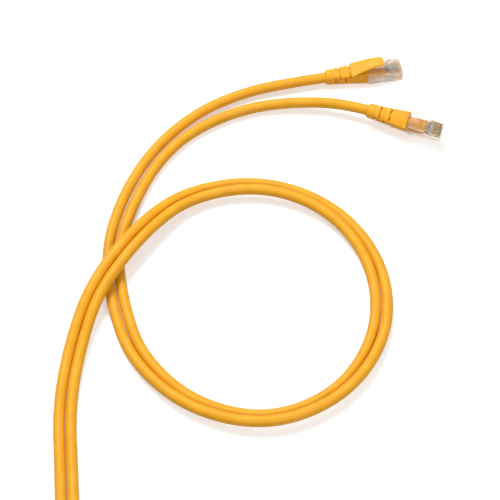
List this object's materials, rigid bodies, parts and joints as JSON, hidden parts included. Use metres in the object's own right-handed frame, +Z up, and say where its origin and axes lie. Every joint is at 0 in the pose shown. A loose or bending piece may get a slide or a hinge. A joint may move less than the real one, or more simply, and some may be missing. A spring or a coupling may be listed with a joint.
{
  "type": "ethernet patch cable",
  "caption": "Yellow round-cord network patch cable folded in half and looped once, with a clear latched modular plug in a snagless boot at each end.",
  "frame": {"origin": "on the surface the cable lies on, under the middle of the box round its two plugs", "axes": "+X the way the plugs point, +Y across the cable away from the loop and coil, +Z up"},
  "size_m": [0.2119, 0.3782, 0.0164],
  "materials": {
    "clear_shell": "clear moulded polycarbonate",
    "gold_contact": "gold-plated, polished",
    "white_comb": "milky moulded plastic",
    "bare_copper": "bare drawn copper",
    "cord_jacket": "satin flexible vinyl",
    "boot_moulding": "satin moulded soft vinyl",
    "tie_strap": "woven hook-and-loop strap",
    "wire_white_orange": "extruded wire insulation",
    "wire_orange": "extruded wire insulation",
    "wire_white_green": "extruded wire insulation",
    "wire_blue": "extruded wire insulation",
    "wire_white_blue": "extruded wire insulation",
    "wire_green": "extruded wire insulation",
    "wire_white_brown": "extruded wire insulation",
    "wire_brown": "extruded wire insulation"
  },
  "bodies": {
    "cable": {"housing_a": "clear_shell", "contacts_a": "gold_contact", "load_bar_a": "white_comb", "wire_cores_a": "bare_copper", "jacket_end_a": "cord_jacket", "boot_a": "boot_moulding", "wire_white_orange_a": "wire_white_orange", "wire_orange_a": "wire_orange", "wire_white_green_a": "wire_white_green", "wire_blue_a": "wire_blue", "wire_white_blue_a": "wire_white_blue", "wire_green_a": "wire_green", "wire_white_brown_a": "wire_white_brown", "wire_brown_a": "wire_brown", "housing_b": "clear_shell", "contacts_b": "gold_contact", "load_bar_b": "white_comb", "wire_cores_b": "bare_copper", "jacket_end_b": "cord_jacket", "boot_b": "boot_moulding", "wire_white_orange_b": "wire_white_orange", "wire_orange_b": "wire_orange", "wire_white_green_b": "wire_white_green", "wire_blue_b": "wire_blue", "wire_white_blue_b": "wire_white_blue", "wire_green_b": "wire_green", "wire_white_brown_b": "wire_white_brown", "wire_brown_b": "wire_brown", "cord_strand_a": "cord_jacket", "cord_strand_b": "cord_jacket", "cord_coil": "cord_jacket", "cord_tie": "tie_strap"},
    "latch_a": {"latch_a": "clear_shell"},
    "hood_a": {"boot_hood_a": "boot_moulding"},
    "latch_b": {"latch_b": "clear_shell"},
    "hood_b": {"boot_hood_b": "boot_moulding"}
  },
  "joints": [
    {"name": "hood_press_a", "type": "hinge", "parent": "cable", "child": "hood_a", "pos_m": [-0.01766, 0.01994, 0.00845], "axis": [-0.165, 0.9863, 0], "range_deg": [0, 6.88], "stiffness_Nm_per_rad": 0.3},
    {"name": "latch_press_a", "type": "hinge", "parent": "cable", "child": "latch_a", "pos_m": [0.00986, 0.02454, 0.00665], "axis": [0.165, -0.9863, 0], "range_deg": [0, 7.6]},
    {"name": "hood_press_b", "type": "hinge", "parent": "cable", "child": "hood_b", "pos_m": [0.00565, -0.0121, 0.00488], "axis": [-0.3231, -0.8693, -0.3741], "range_deg": [0, 6.88], "stiffness_Nm_per_rad": 0.3},
    {"name": "latch_press_b", "type": "hinge", "parent": "cable", "child": "latch_b", "pos_m": [0.03123, -0.02295, 0.00801], "axis": [0.3231, 0.8693, 0.3741], "range_deg": [0, 7.6]}
  ],
  "couplings": [
    {"joint": "latch_press_a", "follows": "hood_press_a", "ratio": 1.0906},
    {"joint": "latch_press_b", "follows": "hood_press_b", "ratio": 1.0906}
  ]
}
